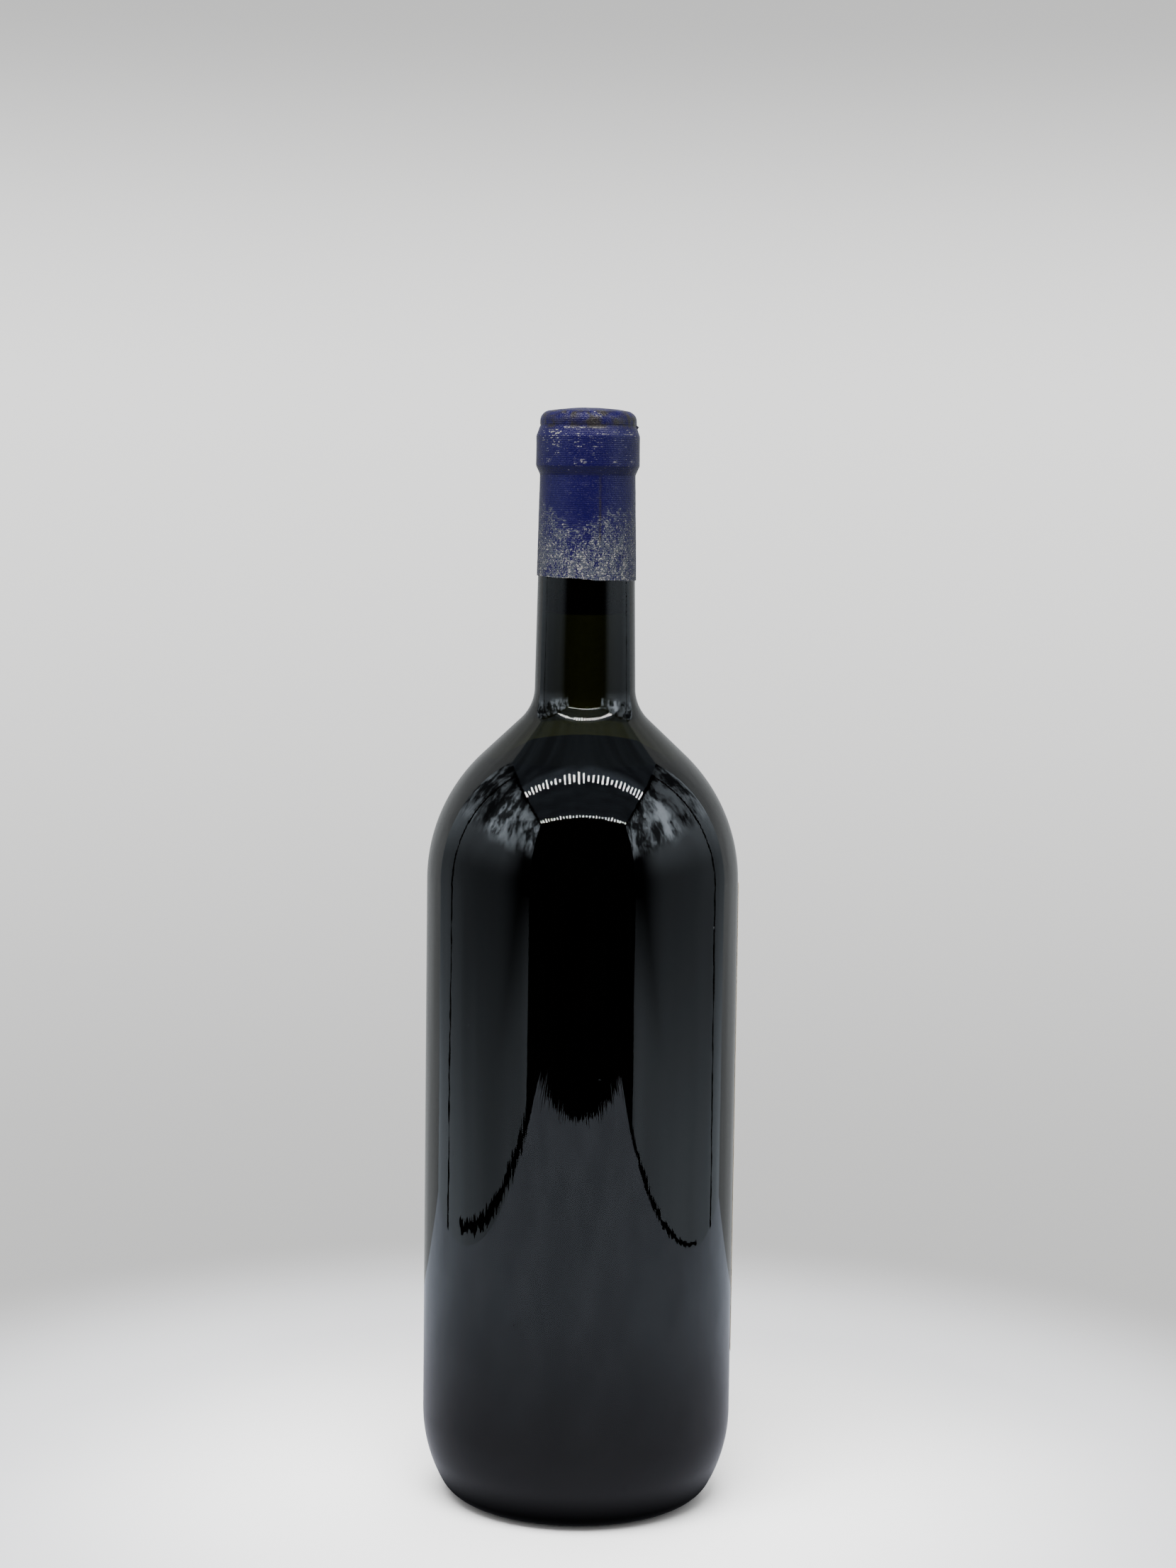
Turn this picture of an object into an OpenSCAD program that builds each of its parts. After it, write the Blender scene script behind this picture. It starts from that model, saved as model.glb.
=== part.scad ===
// Corked and capsuled wine bottle of 1.5 litres, standing upright.
// Frame: origin on the table at the bottle's axis, +Z up, label towards +Y. Millimetres.

/* [Body] */
// Outside width of the straight body
body_d = 100; // [83:0.1:120]
// Height of the glass, from the table to the lip
glass_h = 351.3; // [290:0.1:424]
// Thickness of the glass wall
wall_t = 3.7; // [2.5:0.1:4.5]

/* [Foot] */
// Height at which the side starts to curve in
heel_h = 28.5; // [23:0.5:35]
// Radius of the side's inward curve
heel_r = 47; // [39:0.5:57]
// Radius of the rounded edge under the heel
toe_r = 11; // [9:0.5:14]
// Width of the flat ring that the bottle stands on
ring_w = 3; // [2:0.1:6]
// Depth of the hollow under the bottle
punt_h = 18.5; // [10:0.5:26]
// Thickness of the glass over the hollow
punt_t = 4.5; // [3.5:0.1:6]

/* [Shoulder] */
// Radius of the round shoulder
shoulder_r = 55.4; // [46:0.1:67]
// Slope of the shoulder's straight stretch, from upright
slope_angle = 46.7; // [40:0.1:54]
// Radius of the hollow curve between shoulder and neck
throat_r = 13.8; // [10:0.1:17]

/* [Neck] */
// Length of the neck, from the end of the hollow curve to the lip
neck_len = 87.6; // [73:0.1:106]
// Outside width of the neck under the collar
neck_d = 29.8; // [28:0.1:36]
// How much wider the neck is at its foot
neck_flare = 2.4; // [0.5:0.1:4]
// Width of the bore at the lip
bore_d = 18.5; // [15.4:0.1:22.2]
// How much wider the bore is at the foot of the neck
bore_flare = 2.5; // [0.5:0.1:3]

/* [Finish] */
// How far the rim above the collar stands out from the neck
rim_out = 0.1; // [0:0.05:0.8]
// Radius of the rim's rounded top edge
rim_round = 3; // [1:0.1:3.2]
// How far the collar stands out from the neck
collar_out = 1.25; // [1:0.05:2.5]
// Height of the collar's straight band
collar_h = 9.4; // [6:0.1:12]
// Distance from the lip down to the collar's band
collar_drop = 7.8; // [7:0.1:11]
// Height of the slope above the collar's band
collar_slope_up = 3.3; // [1.5:0.1:3.6]
// Height of the slope under the collar's band
collar_slope_down = 2.8; // [1:0.1:4]

/* [Capsule] */
// Thickness of the foil
foil_t = 0.3; // [0.2:0.05:0.6]
// Length of the capsule, from the lip to its lower edge
capsule_len = 52.6; // [44:0.1:64]
// Gap between the capsule's lower edge and the neck
skirt_gap = 0.1; // [0.05:0.05:0.4]
// Rise of the capsule's top at its middle
top_rise = 1.1; // [0.1:0.1:1.2]

/* [Cork] */
// Length of the cork
cork_len = 60; // [44:0.5:62]
// Depth of the cork's top below the lip
cork_recess = 4; // [0.5:0.1:5]
// Width of the bevel round each end of the cork
cork_bevel = 0.6; // [0.2:0.1:1.5]

/* [Wine] */
// Distance from the cork down to the wine's surface
ullage = 41.2; // [22:0.1:60]

/* [Label] */
// Width of the label, measured round the body
label_w = 152; // [80:1:190]
// Thickness of the paper
label_t = 0.25; // [0.1:0.05:0.5]
// Distance from the top of the heel's curve up to the label
label_low_gap = 19; // [5:0.5:40]
// Distance from the label up to the start of the shoulder
label_high_gap = 0.5; // [0:0.5:30]
// Direction of the label's first edge, counted from +X towards +Y
label_start = -2; // [-30:1:60]

/* [Hidden] */
$fn = 180;
arc_steps = 20;

body_r = body_d / 2;
neck_r = neck_d / 2;
neck_foot_r = (neck_d + neck_flare) / 2;
rim_r = neck_r + rim_out;
collar_r = neck_r + collar_out;
bore_r = bore_d / 2;
bore_foot_r = (bore_d + bore_flare) / 2;

// Foot: the toe's arc touches the heel's arc from inside and the table from above.
heel_x = body_r - heel_r;
toe_x = heel_x + sqrt(pow(heel_r - toe_r, 2) - pow(heel_h - toe_r, 2));
toe_angle = atan2(heel_h - toe_r, toe_x - heel_x);

// Punt: a ball cap that starts at the inner edge of the flat ring.
punt_edge = toe_x - ring_w;
punt_r = (pow(punt_edge, 2) + pow(punt_h, 2)) / (2 * punt_h);

// Neck, and the shoulder hung from it: round shoulder, straight slope, hollow throat.
neck_z = glass_h - neck_len;
slope_top_r = neck_foot_r + throat_r * (1 - cos(slope_angle));
slope_top_z = neck_z - throat_r * sin(slope_angle);
slope_low_r = body_r - shoulder_r * (1 - cos(slope_angle));
slope_low_z = slope_top_z - (slope_low_r - slope_top_r) / tan(slope_angle);
shoulder_z = slope_low_z - shoulder_r * sin(slope_angle);

// Finish
collar_top = glass_h - collar_drop;
collar_low = collar_top - collar_h;
collar_over = collar_top + collar_slope_up;
collar_under = collar_low - collar_slope_down;
rim_flat = rim_r - rim_round;

// Capsule: its top is a shallow ball cap over the lip.
skirt_z = glass_h - capsule_len;
top_r = (pow(rim_flat, 2) + pow(top_rise, 2)) / (2 * top_rise);
top_angle = acos(rim_flat / top_r);

// Cork and wine
cork_top = glass_h - cork_recess;
cork_low = cork_top - cork_len;
wine_z = cork_low - ullage;

// Label
label_low = heel_h + label_low_gap;
label_top = shoulder_z - label_high_gap;
label_angle = label_w / body_r * 180 / PI;

// Points of an arc about [x, z], from one angle to another, both ends included
function arc(x, z, r, from, to) = [
    for (i = [0:arc_steps])
        let (a = from + (to - from) * i / arc_steps)
            [x + r * cos(a), z + r * sin(a)]
];

// The same points in the opposite order
function backwards(points) = [for (i = [len(points) - 1:-1:0]) points[i]];

// Outside radius of the neck at a height
function neck_wall(z) = lookup(z, [[neck_z, neck_foot_r], [collar_under, neck_r]]);

// Radius of the bore at a height
function bore_wall(z) = lookup(z, [[neck_z, bore_foot_r], [glass_h, bore_r]]);

// Side of the bottle from the toe up to the top of the round shoulder, moved inwards by t
function side(t) = concat(
    arc(toe_x, toe_r, toe_r - t, -90, -toe_angle),
    arc(heel_x, heel_h, heel_r - t, -toe_angle, 0),
    arc(body_r - shoulder_r, shoulder_z, shoulder_r - t, 0, slope_angle)
);

// The throat's hollow curve, up to the foot of a neck of the given radius
function throat(foot_r, r) = arc(foot_r + r, neck_z, r, 180 + slope_angle, 180);

// The finish, from under the collar to the lip, moved outwards by t
function finish(t) = concat(
    [
        [neck_r + t, collar_under],
        [collar_r + t, collar_low],
        [collar_r + t, collar_top],
        [rim_r + t, collar_over]
    ],
    arc(rim_flat, glass_h - rim_round, rim_round + t, 0, 90)
);

// Outline of the solid bottle, with no hollow in it
outer_outline = concat([[0, 0]], side(0), throat(neck_foot_r, throat_r), finish(0), [[0, glass_h]]);

// Side of the hollow inside, from its floor to the foot of the bore
hollow_side = concat(side(wall_t), throat(bore_foot_r, throat_r));

// Turns an outline of [radius, height] points about the bottle's axis
module turn(outline) {
    rotate_extrude() polygon(outline);
}

// Ball whose cap is the hollow under the bottle, grown by t
module punt_ball(t) {
    translate([0, 0, punt_h - punt_r]) sphere(r = punt_r + t);
}

// All the space inside the glass below the bore, up to a height
module hollow(top) {
    wall_at_top = lookup(top, [for (p = hollow_side) [p[1], p[0]]]);
    below = [for (p = hollow_side) if (p[1] < top) p];
    difference() {
        turn(concat([[0, wall_t]], below, [[wall_at_top, top], [0, top]]));
        punt_ball(punt_t);
    }
}

module glass() {
    color([0.10, 0.13, 0.05, 0.6])
    difference() {
        turn(outer_outline);
        punt_ball(0);
        hollow(neck_z);
        turn([[0, neck_z], [bore_foot_r, neck_z], [bore_r, glass_h], [0, glass_h]]);
    }
}

module wine() {
    color([0.05, 0.01, 0.02])
    hollow(wine_z);
}

module cork() {
    color([0.45, 0.30, 0.19])
    turn([
        [0, cork_low],
        [bore_wall(cork_low) - cork_bevel, cork_low],
        [bore_wall(cork_low + cork_bevel), cork_low + cork_bevel],
        [bore_wall(cork_top - cork_bevel), cork_top - cork_bevel],
        [bore_wall(cork_top) - cork_bevel, cork_top],
        [0, cork_top]
    ]);
}

module capsule() {
    skirt_r = neck_wall(skirt_z) + skirt_gap;
    color([0.11, 0.12, 0.40])
    turn(concat(
        [[0, glass_h]],
        backwards(finish(0)),
        [[skirt_r, skirt_z], [skirt_r + foil_t, skirt_z]],
        finish(foil_t),
        arc(0, glass_h + foil_t + top_rise - top_r, top_r, top_angle, 90)
    ));
}

module label() {
    color([0.93, 0.92, 0.88])
    rotate([0, 0, label_start])
    rotate_extrude(angle = label_angle)
    translate([body_r, label_low]) square([label_t, label_top - label_low]);
}

glass();
wine();
cork();
capsule();
label();
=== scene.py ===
"""A full, corked wine bottle with a worn foil capsule and a blank paper label, in a light tent."""

import math

import bmesh
import bpy
from bpy.props import FloatProperty, FloatVectorProperty, IntProperty, PointerProperty
from mathutils import Euler, Matrix, Vector, noise


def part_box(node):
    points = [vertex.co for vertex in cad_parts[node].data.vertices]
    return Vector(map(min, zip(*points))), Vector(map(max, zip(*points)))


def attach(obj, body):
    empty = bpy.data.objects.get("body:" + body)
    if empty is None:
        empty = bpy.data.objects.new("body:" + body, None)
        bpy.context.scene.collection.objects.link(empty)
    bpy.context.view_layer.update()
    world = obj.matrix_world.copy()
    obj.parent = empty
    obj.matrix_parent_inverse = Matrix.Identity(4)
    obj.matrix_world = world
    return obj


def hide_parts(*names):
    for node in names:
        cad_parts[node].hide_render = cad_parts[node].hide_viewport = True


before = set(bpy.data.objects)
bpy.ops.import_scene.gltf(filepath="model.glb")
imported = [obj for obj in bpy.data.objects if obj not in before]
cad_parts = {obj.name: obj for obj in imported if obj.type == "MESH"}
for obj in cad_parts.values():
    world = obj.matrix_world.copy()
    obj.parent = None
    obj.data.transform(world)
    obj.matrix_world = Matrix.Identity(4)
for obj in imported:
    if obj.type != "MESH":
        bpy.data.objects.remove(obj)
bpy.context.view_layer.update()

bl_info = {
    "name": "Wine Bottle",
    "version": (1, 0, 0),
    "blender": (4, 5, 0),
    "location": "View3D > Sidebar > Bottle",
    "description": "Builds a full wine bottle with cork, foil capsule and label, and its light tent",
    "category": "Object",
}

MM = 0.001
# Heights of the solids that the pieces stand for
GLASS_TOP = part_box("glass")[1].z
WINE_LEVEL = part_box("wine")[1].z
CORK_LOW, CORK_HIGH = (corner.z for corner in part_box("cork"))
CAPSULE_LOW, CAPSULE_HIGH = (corner.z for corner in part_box("capsule"))
LABEL_LOW, LABEL_HIGH = (corner.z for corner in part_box("label"))
# How far the parts of the finish lie below the lip
COLLAR_FOOT = 20.0 * MM
COLLAR_LOW = 17.2 * MM
COLLAR_TOP = 7.8 * MM
RIM_FOOT = 4.5 * MM
# Distance between the fine ribs round the capsule
RIB_PITCH = 0.00066


# ---------------------------------------------------------------- settings


def length(name, description, default, **limits):
    """A setting that is a length, in metres"""
    return FloatProperty(
        name=name, description=description, default=default, unit="LENGTH", **limits
    )


def tint(name, description, default):
    """A setting that is a colour"""
    return FloatVectorProperty(
        name=name, description=description, default=default, subtype="COLOR", size=3, min=0, max=1
    )


class BottleSizes(bpy.types.PropertyGroup):
    """Sizes of the bottle and its closure"""

    body_radius: length("Body radius", "Radius of the straight body", 50 * MM, min=20 * MM)
    height: length("Glass height", "Height of the glass without the capsule", GLASS_TOP, min=100 * MM)
    wall: length("Wall", "Thickness of the glass in the body", 3.7 * MM, min=1 * MM)
    heel_height: length("Heel height", "Height where the straight body starts", 28.5 * MM)
    heel_radius: length("Heel radius", "Radius of the large curve of the heel", 47 * MM)
    toe_radius: length("Toe radius", "Radius of the small curve that meets the table", 11 * MM)
    ring_width: length("Ring width", "Width of the flat ring that the bottle stands on", 3 * MM)
    punt_height: length("Punt height", "Depth of the hollow under the bottle", 18.5 * MM)
    shoulder_radius: length("Shoulder radius", "Radius of the round shoulder", 55.4 * MM)
    shoulder_angle: FloatProperty(
        name="Shoulder angle", description="How far the shoulder turns in", subtype="ANGLE",
        default=math.radians(46.7),
    )
    throat_radius: length("Throat radius", "Radius of the hollow curve under the neck", 13.8 * MM)
    neck_length: length("Neck length", "From the throat to the lip", 87.6 * MM)
    neck_radius: length("Neck radius", "Radius of the neck under the collar", 14.9 * MM)
    neck_foot_radius: length("Neck foot radius", "Radius of the neck at the throat", 16.1 * MM)
    bore_radius: length("Bore radius", "Radius of the bore at the lip", 9.25 * MM)
    bore_foot_radius: length("Bore foot radius", "Radius of the bore at the throat", 10.5 * MM)
    collar_radius: length("Collar radius", "Radius of the collar round the finish", 16.15 * MM)
    rim_radius: length("Rim radius", "Radius of the lip", 15 * MM)
    rim_round: length("Lip round", "Radius of the lip's outer edge", 3.0 * MM)
    foil: length("Foil", "Thickness of the capsule", 0.3 * MM)
    paper: length("Paper", "Thickness of the label paper", 0.14 * MM)
    around: IntProperty(
        name="Steps around", description="Faces round the bottle", default=224, min=24,
    )


class BottleColours(bpy.types.PropertyGroup):
    """Colours of the bottle's materials"""

    glass_tint: tint("Glass tint", "Colour that the glass lets through", (0.243, 0.257, 0.0))
    glass_depth: FloatProperty(
        name="Glass depth", description="How strongly the glass darkens, per metre",
        default=700.0, min=0,
    )
    wine: tint("Wine", "Colour of the wine", (0.006, 0.0008, 0.0014))
    cork: tint("Cork", "Colour of the cork", (0.36, 0.21, 0.11))
    lacquer: tint("Lacquer", "Colour of the capsule's lacquer", (0.0021, 0.0008, 0.0215))
    tin: tint(
        "Bare tin", "Colour of the capsule where the lacquer is rubbed off", (0.155, 0.147, 0.133)
    )
    paper: tint("Paper", "Colour of the label paper", (0.72, 0.69, 0.60))


class StageLook(bpy.types.PropertyGroup):
    """Camera, floor and light"""

    camera_place: FloatVectorProperty(
        name="Camera", description="Where the camera stands", subtype="XYZ", unit="LENGTH",
        size=3, default=(1.34 * MM, -981.5 * MM, 333.7 * MM),
    )
    camera_tilt: FloatProperty(
        name="Camera tilt", description="How far the camera looks down", subtype="ANGLE",
        default=math.radians(5.879),
    )
    camera_roll: FloatProperty(
        name="Camera roll", description="How far the camera leans", subtype="ANGLE",
        default=math.radians(0.739),
    )
    lens: FloatProperty(
        name="Lens", description="Focal length in millimetres", default=70.63, min=10,
    )
    key_power: FloatProperty(
        name="Key light", description="Power of the large soft light overhead", default=34.0, min=0,
    )
    fill_power: FloatProperty(
        name="Fill light", description="Power of the soft light behind", default=9.0, min=0,
    )
    tent_light: FloatProperty(
        name="Tent", description="Brightness of the tent's cloth", default=1.0, min=0,
    )
    bead_light: FloatProperty(
        name="Light beads", description="Brightness of the two rows of small lights",
        default=60.0, min=0,
    )


# ---------------------------------------------------------------- outlines and meshes


class Outline:
    """Half of a turned shape, drawn point by point from the axis outwards and back to it"""

    def __init__(self, radius, height):
        self.mesh = bmesh.new()
        self.pen = self.mesh.verts.new((radius, 0, height))

    def to(self, radius, height, steps=1):
        """Draws a straight line, in equal steps"""
        start = self.pen.co.copy()
        end = Vector((radius, 0, height))
        for step in range(steps):
            self.pen = bmesh.ops.extrude_vert_indiv(self.mesh, verts=[self.pen])["verts"][0]
            self.pen.co = start.lerp(end, (step + 1) / steps)

    def bend(self, radius, height, angle, steps):
        """Draws an arc about a centre, counter-clockwise for a positive angle"""
        made = bmesh.ops.spin(
            self.mesh, geom=[self.pen], cent=(radius, 0, height), axis=(0, -1, 0),
            dvec=(0, 0, 0), angle=angle, steps=steps, use_merge=False, use_duplicate=False,
        )
        self.pen = [part for part in made["geom_last"] if isinstance(part, bmesh.types.BMVert)][0]

    def soften(self, points, width):
        """Rounds the corners at the given points"""
        corners = [
            vert for vert in self.mesh.verts
            if any((vert.co - Vector((radius, 0, height))).length < 1e-6 for radius, height in points)
        ]
        bmesh.ops.bevel(
            self.mesh, geom=corners, offset=width, offset_type="OFFSET", affect="VERTICES",
            segments=3, profile=0.5, material=-1, clamp_overlap=True,
        )

    def turned(self, steps):
        """Turns the outline round the axis into a closed skin"""
        bmesh.ops.spin(
            self.mesh, geom=self.mesh.verts[:] + self.mesh.edges[:], cent=(0, 0, 0),
            axis=(0, 0, 1), dvec=(0, 0, 0), angle=math.tau, steps=steps, use_merge=True,
            use_duplicate=False,
        )
        bmesh.ops.remove_doubles(self.mesh, verts=self.mesh.verts, dist=1e-7)
        bmesh.ops.recalc_face_normals(self.mesh, faces=self.mesh.faces)
        return self.mesh


def as_object(name, mesh, material):
    """Puts a bmesh into the scene as an object with its own material"""
    data = bpy.data.meshes.new(name)
    mesh.to_mesh(data)
    mesh.free()
    data.materials.append(material)
    thing = bpy.data.objects.new(name, data)
    bpy.context.scene.collection.objects.link(thing)
    return thing


def finished(name, mesh, material, sharp=math.radians(40)):
    """Smooths a bmesh, except at its sharp edges, and puts it into the scene"""
    for face in mesh.faces:
        face.smooth = True
    for edge in mesh.edges:
        if len(edge.link_faces) == 2:
            edge.smooth = edge.calc_face_angle(0.0) < sharp
    return as_object(name, mesh, material)


def declared(piece, node):
    """Ties a piece to the bottle, and hides the solid that it stands for"""
    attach(piece, "root")
    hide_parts(node)


def smoothstep(low, high, value):
    """0 below low, 1 above high and a soft rise between"""
    share = min(max((value - low) / (high - low), 0.0), 1.0)
    return share * share * (3 - 2 * share)


def hump(value, middle, width):
    """A soft bump, 1 in the middle and gone at about twice its width"""
    return math.exp(-(((value - middle) / width) ** 2))


def patchy(place, low, high):
    """Soft-edged patches: 0 where the noise is below low and 1 where it is above high"""
    return smoothstep(low, high, noise.noise(place))


# ---------------------------------------------------------------- materials


def blank_material(name):
    """A material with only its output"""
    material = bpy.data.materials.new(name)
    material.use_nodes = True
    tree = material.node_tree
    tree.nodes.clear()
    output = tree.nodes.new("ShaderNodeOutputMaterial")
    return material, tree, output


def add(tree, kind, inputs=None, **settings):
    """Adds a node: settings are its own, inputs are constants or sockets to link"""
    new = tree.nodes.new(kind)
    for setting, value in settings.items():
        setattr(new, setting, value)
    for socket, value in (inputs or {}).items():
        target = new.inputs[socket]
        if isinstance(value, bpy.types.NodeSocket):
            tree.links.new(value, target)
        elif hasattr(target.default_value, "__len__") and len(target.default_value) == 4:
            target.default_value = (*value[:3], 1.0)
        else:
            target.default_value = value
    return new


def shown(tree, output, kind, inputs):
    """Adds the shader that the surface shows"""
    shader = add(tree, kind, inputs)
    tree.links.new(shader.outputs[0], output.inputs["Surface"])


def glowing(tree, output, colour, strength):
    """Makes the surface give off light"""
    shown(tree, output, "ShaderNodeEmission", {"Color": colour, "Strength": strength})


def reckon(tree, operation, first, second, clamp=False):
    """One sum on two values"""
    return add(
        tree, "ShaderNodeMath", {0: first, 1: second}, operation=operation, use_clamp=clamp
    ).outputs[0]


def times(tree, first, second, clamp=False):
    """One value multiplied by another"""
    return reckon(tree, "MULTIPLY", first, second, clamp)


def plus(tree, first, second, clamp=False):
    """One value added to another"""
    return reckon(tree, "ADD", first, second, clamp)


def blend(tree, share, first, second):
    """Blends two colours"""
    return add(tree, "ShaderNodeMix", {0: share, 6: first, 7: second}, data_type="RGBA").outputs[2]


def between(tree, share, first, second):
    """Blends two values"""
    return add(tree, "ShaderNodeMix", {0: share, 2: first, 3: second}).outputs[0]


def painted(tree, name):
    """A value that the mesh itself carries"""
    return add(tree, "ShaderNodeAttribute", attribute_name=name).outputs["Fac"]


def own_place(tree):
    """The object's own coordinates"""
    return add(tree, "ShaderNodeTexCoord").outputs["Object"]


def own_axis(tree, axis):
    """One of the object's own coordinates: 1 for depth and 2 for height"""
    return add(tree, "ShaderNodeSeparateXYZ", {0: own_place(tree)}).outputs[axis]


def from_middle(tree):
    """The distance from the object's origin"""
    return add(tree, "ShaderNodeVectorMath", {0: own_place(tree)}, operation="LENGTH").outputs["Value"]


def placed(tree, scale=(1, 1, 1), turn=(0, 0, 0)):
    """The object's own coordinates, stretched and turned"""
    return add(
        tree, "ShaderNodeMapping", {"Vector": own_place(tree), "Scale": scale, "Rotation": turn}
    ).outputs[0]


def cloudy(tree, scale, stretch=(1, 1, 1), detail=3.0, roughness=0.55, turn=(0, 0, 0)):
    """Noise from 0 to 1, with the given number of blots per metre"""
    place = placed(tree, stretch, turn)
    return add(
        tree, "ShaderNodeTexNoise",
        {"Vector": place, "Scale": scale, "Detail": detail, "Roughness": roughness},
    ).outputs[0]


def stretch_range(tree, value, low, high, to_low=0.0, to_high=1.0):
    """Spreads the values between low and high over a new range, with soft ends"""
    return add(
        tree, "ShaderNodeMapRange",
        {"Value": value, "From Min": low, "From Max": high, "To Min": to_low, "To Max": to_high},
        interpolation_type="SMOOTHSTEP",
    ).outputs[0]


def bumped(tree, height, distance, strength=1.0, under=None):
    """A bump of the given depth in metres"""
    inputs = {"Height": height, "Distance": distance, "Strength": strength}
    if under is not None:
        inputs["Normal"] = under
    return add(tree, "ShaderNodeBump", inputs).outputs[0]


def dark_glass(colours):
    """Thick olive-green bottle glass, a little wavy"""
    material, tree, output = blank_material("dark_olive_glass")
    waves = cloudy(tree, 45.0, stretch=(1, 1, 0.4), detail=2.0)
    normal = bumped(tree, waves, 0.00005)
    # A few small pits and seeds in the surface
    seeds = add(
        tree, "ShaderNodeTexVoronoi", {"Vector": placed(tree), "Scale": 75.0, "Randomness": 1.0}
    ).outputs["Distance"]
    normal = bumped(tree, stretch_range(tree, seeds, 0.012, 0.034), 0.00012, under=normal)
    shown(tree, output, "ShaderNodeBsdfPrincipled", {
        "Base Color": (1, 1, 1), "Transmission Weight": 1.0, "Roughness": 0.0, "IOR": 1.5,
        "Normal": normal,
    })
    depth = add(
        tree, "ShaderNodeVolumeAbsorption",
        {"Color": colours.glass_tint, "Density": colours.glass_depth},
    )
    tree.links.new(depth.outputs[0], output.inputs["Volume"])
    return material


def dark_wine(colours):
    """Red wine, nearly black in the bulk and faintly cloudy"""
    material, tree, output = blank_material("dark_red_wine")
    clouds = stretch_range(tree, cloudy(tree, 60.0), 0.35, 0.7)
    colour = blend(tree, clouds, colours.wine, [share * 0.5 for share in colours.wine])
    shown(tree, output, "ShaderNodeBsdfPrincipled", {
        "Base Color": colour, "Roughness": 0.6, "IOR": 1.34, "Specular IOR Level": 0.0,
    })
    return material


def aged_cork(colours):
    """Natural cork with pores, darker and wine-red towards its lower end"""
    material, tree, output = blank_material("aged_cork")
    grain = cloudy(tree, 700.0, stretch=(1, 1, 0.4), detail=6.0, roughness=0.7)
    pores = stretch_range(tree, cloudy(tree, 320.0, stretch=(1, 1, 2.4), detail=4.0), 0.60, 0.68)
    # Darker and wine-red towards the lower end, with a wavy border
    wobbly = plus(tree, own_axis(tree, 2), times(tree, cloudy(tree, 220.0), 0.006))
    dark_lower_end = stretch_range(tree, wobbly, CORK_LOW + 0.006, CORK_LOW + 0.012, 1.0, 0.0)
    pale = [min(share * 1.25, 1) for share in colours.cork]
    colour = blend(tree, grain, colours.cork, pale)
    colour = blend(tree, pores, colour, [share * 0.28 for share in colours.cork])
    colour = blend(tree, dark_lower_end, colour, (0.07, 0.012, 0.02))
    relief = reckon(tree, "SUBTRACT", grain, pores)
    shown(tree, output, "ShaderNodeBsdfPrincipled", {
        "Base Color": colour, "Roughness": stretch_range(tree, grain, 0.3, 0.7, 0.75, 0.92),
        "Normal": bumped(tree, relief, 0.0002),
    })
    return material


def worn_foil(colours):
    """Blue lacquer on tin, finely ribbed, rubbed through to the metal where it has been handled"""
    material, tree, output = blank_material("worn_blue_foil")
    rubbed = painted(tree, "rubbed")
    height = own_axis(tree, 2)
    # Fine ribs round the capsule
    rib = reckon(tree, "SINE", times(tree, height, math.tau / RIB_PITCH), 0)
    rib = reckon(tree, "MULTIPLY_ADD", rib, 0.5)
    # Where the lacquer is gone: lines along the ribs, upright streaks and specks
    lines = stretch_range(tree, cloudy(tree, 640.0, stretch=(1, 1, 3.2), detail=3.0), 0.36, 0.64)
    streaks = stretch_range(tree, cloudy(tree, 1500.0, stretch=(1, 1, 0.3), detail=2.0), 0.34, 0.66)
    specks = stretch_range(tree, cloudy(tree, 2100.0, detail=2.0, roughness=0.6), 0.36, 0.64)
    patches = stretch_range(tree, cloudy(tree, 300.0, stretch=(1, 1, 0.7), detail=3.0), 0.32, 0.68)
    along = plus(tree, times(tree, lines, 0.62), times(tree, rib, 0.16))
    along = plus(tree, along, times(tree, specks, 0.16))
    upright = plus(tree, times(tree, streaks, 0.22), times(tree, specks, 0.48))
    upright = plus(tree, upright, times(tree, patches, 0.30))
    texture = between(tree, painted(tree, "ribbed"), upright, along)
    worn = plus(tree, texture, times(tree, rubbed, 0.55))
    bare = stretch_range(tree, worn, 0.84, 0.96)
    # Pale haze on the lacquer
    clouds = cloudy(tree, 240.0, stretch=(1, 1, 1.6), detail=5.0)
    haze = stretch_range(tree, clouds, 0.45, 0.75, 0.0, 0.2)
    haze = plus(tree, haze, times(tree, rubbed, 0.25), clamp=True)
    fade = [share * 1.1 + 0.008 for share in colours.lacquer]
    lacquer = blend(tree, haze, colours.lacquer, fade)
    # The bare metal is mostly dull, and bright in small grains
    dull = [share * factor for share, factor in zip(colours.tin, (0.17, 0.20, 0.30))]
    grain = cloudy(tree, 1500.0, detail=3.0, roughness=0.65)
    shine = plus(tree, times(tree, rubbed, 0.1), grain)
    on_collar = stretch_range(tree, height, CAPSULE_HIGH - 0.023, CAPSULE_HIGH - 0.020, 0.0, 0.14)
    shine = stretch_range(tree, plus(tree, shine, on_collar), 0.60, 0.76)
    tin = blend(tree, shine, dull, colours.tin)
    colour = blend(tree, bare, lacquer, tin)
    # Dark brown: dirt on the rolled top, dirt and painted shade in the groove, and painted shade along
    # the fold
    patchy_grime_and_crease_shade = stretch_range(tree, patches, 0.1, 0.8, 0.35, 1.0)
    dirt = times(tree, painted(tree, "dirt"), patchy_grime_and_crease_shade, clamp=True)
    colour = blend(tree, dirt, colour, (0.0085, 0.0072, 0.0075))
    crackle = plus(tree, times(tree, streaks, 0.5), times(tree, specks, 0.5))
    normal = bumped(tree, rib, 0.00003)
    normal = bumped(tree, crackle, 0.00008, under=normal)
    normal = bumped(tree, bare, 0.00002, strength=0.6, under=normal)
    shown(tree, output, "ShaderNodeBsdfPrincipled", {
        "Base Color": colour,
        "Metallic": times(tree, bare, 0.2),
        "Roughness": stretch_range(tree, plus(tree, haze, bare), 0.0, 1.2, 0.27, 0.62),
        "IOR": 1.45, "Specular IOR Level": 0.27, "Normal": normal,
    })
    return material


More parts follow.
